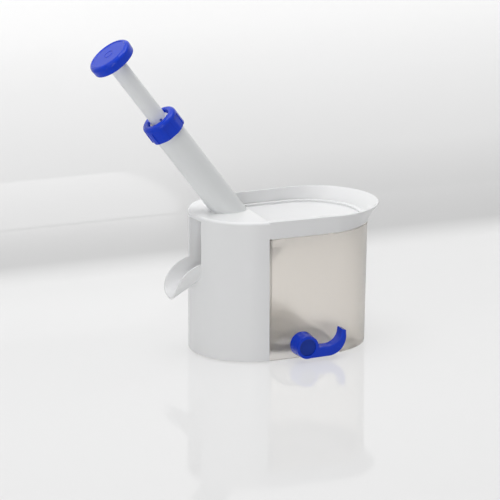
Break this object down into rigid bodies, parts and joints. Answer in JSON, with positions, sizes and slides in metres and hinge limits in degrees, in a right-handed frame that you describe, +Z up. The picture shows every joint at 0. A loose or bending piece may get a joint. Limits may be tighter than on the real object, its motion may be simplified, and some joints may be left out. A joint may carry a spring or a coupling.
{
  "type": "cherry pitter with lever",
  "caption": "Bench cherry pitter with a slanted push plunger, open hopper, frosted stone container, outlet chute and lever-locked suction foot.",
  "frame": {"origin": "middle of the body's stadium-shaped footprint, on the table plane", "axes": "+Z up, +X towards the hopper end, -X towards the outlet chute, the suction lever on the -Y side"},
  "size_m": [0.268, 0.1265, 0.2887],
  "materials": {
    "white_abs": "moulded, smooth",
    "frosted_pp": "fine frosted, translucent",
    "tube_abs": "moulded, smooth",
    "blue_abs": "polished",
    "dark_blue_abs": "satin",
    "natural_pom": "moulded",
    "tan_rubber": "soft",
    "grey_rubber": "soft",
    "steel": "bright"
  },
  "bodies": {
    "base": {"stone_container": "frosted_pp", "suction_mount": "white_abs", "mount_screws": "steel", "suction_cup": "grey_rubber", "shaft_bush": "natural_pom", "anti_slip_feet": "grey_rubber"},
    "lever": {"suction_lever": "blue_abs", "lever_cap": "dark_blue_abs", "lever_screw": "steel", "cam_shaft": "natural_pom"},
    "stem": {"suction_stem": "natural_pom"},
    "top": {"main_housing": "white_abs", "hopper_tray": "white_abs", "outlet_chute": "white_abs", "guide_tube": "tube_abs", "pitting_pad": "tan_rubber", "pad_carrier": "white_abs", "carrier_screws": "steel"},
    "collar": {"locking_collar": "blue_abs", "rod_bush": "natural_pom"},
    "plunger": {"knob": "blue_abs", "plunger_rod": "tube_abs", "piston_head": "natural_pom", "bumper_washer": "tan_rubber", "cross_pin": "steel", "pitting_pin": "steel", "return_spring": "steel"}
  },
  "joints": [
    {"name": "lever_turn", "type": "hinge", "parent": "base", "child": "lever", "pos_m": [0, -0.0625, 0.014], "axis": [0, -1, 0], "range_deg": [0, 90]},
    {"name": "stem_slide", "type": "slide", "parent": "base", "child": "stem", "axis": [0, 0, 1], "range_m": [-0.0025, 0], "deforming": ["suction_cup"]},
    {"name": "top_lift", "type": "slide", "parent": "base", "child": "top", "axis": [0, 0, 1], "range_m": [0, 0.12]},
    {"name": "collar_turn", "type": "hinge", "parent": "top", "child": "collar", "pos_m": [-0.0476, 0, 0.128], "axis": [-0.5976, 0, 0.8018], "range_deg": [0, 60]},
    {"name": "plunger_slide", "type": "slide", "parent": "top", "child": "plunger", "axis": [0.5976, 0, -0.8018], "range_m": [0, 0.058], "stiffness_N_per_m": 350, "springref_m": -0.015, "deforming": ["return_spring", "pitting_pad"]}
  ],
  "couplings": [
    {"joint": "stem_slide", "follows": "lever_turn", "m_per_rad": -0.0015915}
  ]
}
